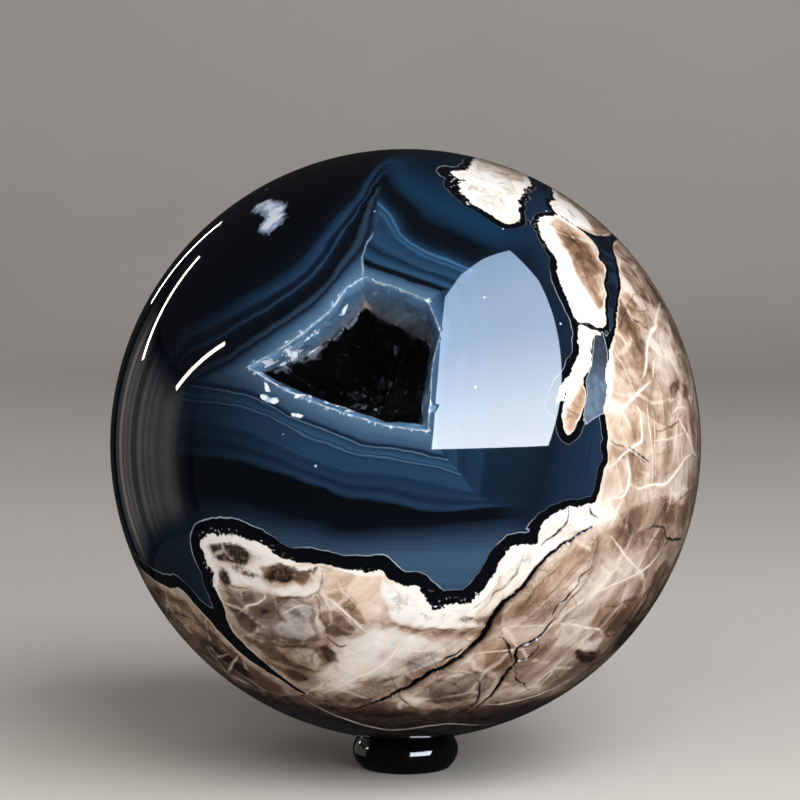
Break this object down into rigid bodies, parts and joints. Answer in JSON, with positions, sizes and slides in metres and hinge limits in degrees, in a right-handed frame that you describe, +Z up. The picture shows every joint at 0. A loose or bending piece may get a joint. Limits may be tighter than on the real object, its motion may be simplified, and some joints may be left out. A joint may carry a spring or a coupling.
{
  "type": "decorative sphere",
  "caption": "Polished ball of banded agate and petrified wood with an open angular cavity, resting in a small domed black stone ring.",
  "frame": {"origin": "centre of the ring stand's underside, on the surface that the object stands on", "axes": "+Z up through the ball's centre; -Y is the front, with the open cavity; +X is to the right of the front"},
  "size_m": [0.12, 0.12, 0.1265],
  "materials": {
    "petrified_wood": "polished banded agate and petrified wood, with a rough-walled cavity",
    "black_stone": "glossy polish"
  },
  "bodies": {
    "root": {"petrified_wood_ball": "petrified_wood", "ring_stand": "black_stone"}
  },
  "joints": []
}
